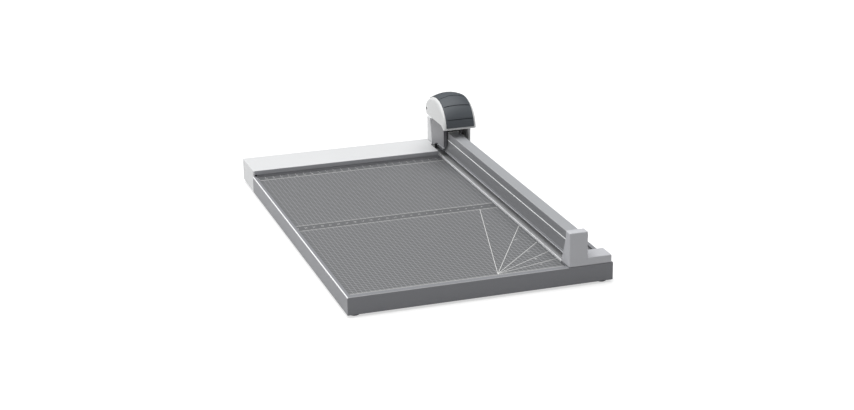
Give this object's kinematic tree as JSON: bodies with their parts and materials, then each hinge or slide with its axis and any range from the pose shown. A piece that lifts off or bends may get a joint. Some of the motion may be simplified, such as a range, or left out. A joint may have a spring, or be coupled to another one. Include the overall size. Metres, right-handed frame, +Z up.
{
  "type": "paper trimmer",
  "caption": "Rotary paper trimmer with a printed table, a raised guide rail, a clamp strip and a press-down carriage that carries a round blade.",
  "frame": {"origin": "centre of the base's outline, on the surface that the feet stand on", "axes": "+Z up, +Y back along the rail to the parked carriage, +X across the table to the cutting line"},
  "size_m": [0.3066, 0.486, 0.1104],
  "materials": {
    "frame_paint": "satin grey paint",
    "table_print": "matt grey with a lighter printed grid",
    "white_plastic": "satin white",
    "stop_paint": "satin dark grey",
    "aluminium": "brushed, clear anodised",
    "bracket_paint": "satin light grey",
    "steel": "ground",
    "dark_steel": "blackened",
    "blade_steel": "polished",
    "dark_plastic": "matt near-black",
    "pale_plastic": "natural light grey",
    "shell_plastic": "satin light grey",
    "housing_paint": "satin mid grey",
    "pad_rubber": "soft, matt",
    "rubber": "matt black"
  },
  "bodies": {
    "base": {"base_frame": "frame_paint", "table_plate": "table_print", "offcut_plate": "table_print", "bottom_cover": "dark_plastic", "rubber_feet": "rubber", "foot_screws": "steel", "back_cover": "white_plastic", "stop_rail": "stop_paint", "back_cover_screws": "steel", "cutting_strip": "steel", "strip_screws": "steel", "guide_rail": "aluminium", "front_bracket": "bracket_paint", "back_bracket": "white_plastic", "bracket_screws": "steel", "rail_screws": "steel", "clamp_pins": "steel", "clamp_spring_front": "steel", "clamp_spring_back": "steel"},
    "clamp": {"clamp_strip": "aluminium", "clamp_grip": "rubber"},
    "carriage": {"carriage_saddle": "dark_plastic", "slide_liner": "pale_plastic", "side_liners": "pale_plastic", "roller_pins": "steel", "end_buffers": "rubber", "guide_posts": "steel", "post_clips": "steel", "return_spring_front": "steel", "return_spring_back": "steel"},
    "head": {"head_frame": "dark_plastic", "left_cover": "shell_plastic", "right_cover": "shell_plastic", "grip_pad": "pad_rubber", "cover_screws": "dark_steel", "press_shoe": "pale_plastic", "shoe_screws": "dark_steel", "blade_housing": "housing_paint", "housing_screws": "steel", "blade_axle": "steel"},
    "blade": {"blade_hub": "dark_plastic", "rotary_blade": "blade_steel"},
    "roller_front": {"guide_roller_front": "pale_plastic"},
    "roller_back": {"guide_roller_back": "pale_plastic"}
  },
  "joints": [
    {"name": "carriage_slide", "type": "slide", "parent": "base", "child": "carriage", "axis": [0, -1, 0], "range_m": [0, 0.388]},
    {"name": "head_press", "type": "slide", "parent": "carriage", "child": "head", "axis": [0, 0, -1], "range_m": [0, 0.0068], "stiffness_N_per_m": 1200, "springref_m": -0.005, "deforming": ["return_spring_front", "return_spring_back"]},
    {"name": "clamp_drop", "type": "slide", "parent": "base", "child": "clamp", "axis": [0, 0, -1], "range_m": [0, 0.0068], "stiffness_N_per_m": 400, "springref_m": -0.006, "deforming": ["clamp_spring_front", "clamp_spring_back"]},
    {"name": "blade_spin", "type": "hinge", "parent": "head", "child": "blade", "pos_m": [0.1022, 0.1933, 0.0518], "axis": [1, 0, 0], "continuous": true},
    {"name": "roller_front_spin", "type": "hinge", "parent": "carriage", "child": "roller_front", "pos_m": [0.113, 0.17605, 0.048], "axis": [1, 0, 0], "continuous": true},
    {"name": "roller_back_spin", "type": "hinge", "parent": "carriage", "child": "roller_back", "pos_m": [0.113, 0.20605, 0.048], "axis": [1, 0, 0], "continuous": true}
  ],
  "couplings": [
    {"joint": "clamp_drop", "follows": "head_press", "ratio": 1},
    {"joint": "blade_spin", "follows": "carriage_slide", "rad_per_m": 44.444},
    {"joint": "roller_front_spin", "follows": "carriage_slide", "rad_per_m": 212.77},
    {"joint": "roller_back_spin", "follows": "carriage_slide", "rad_per_m": 212.77}
  ]
}
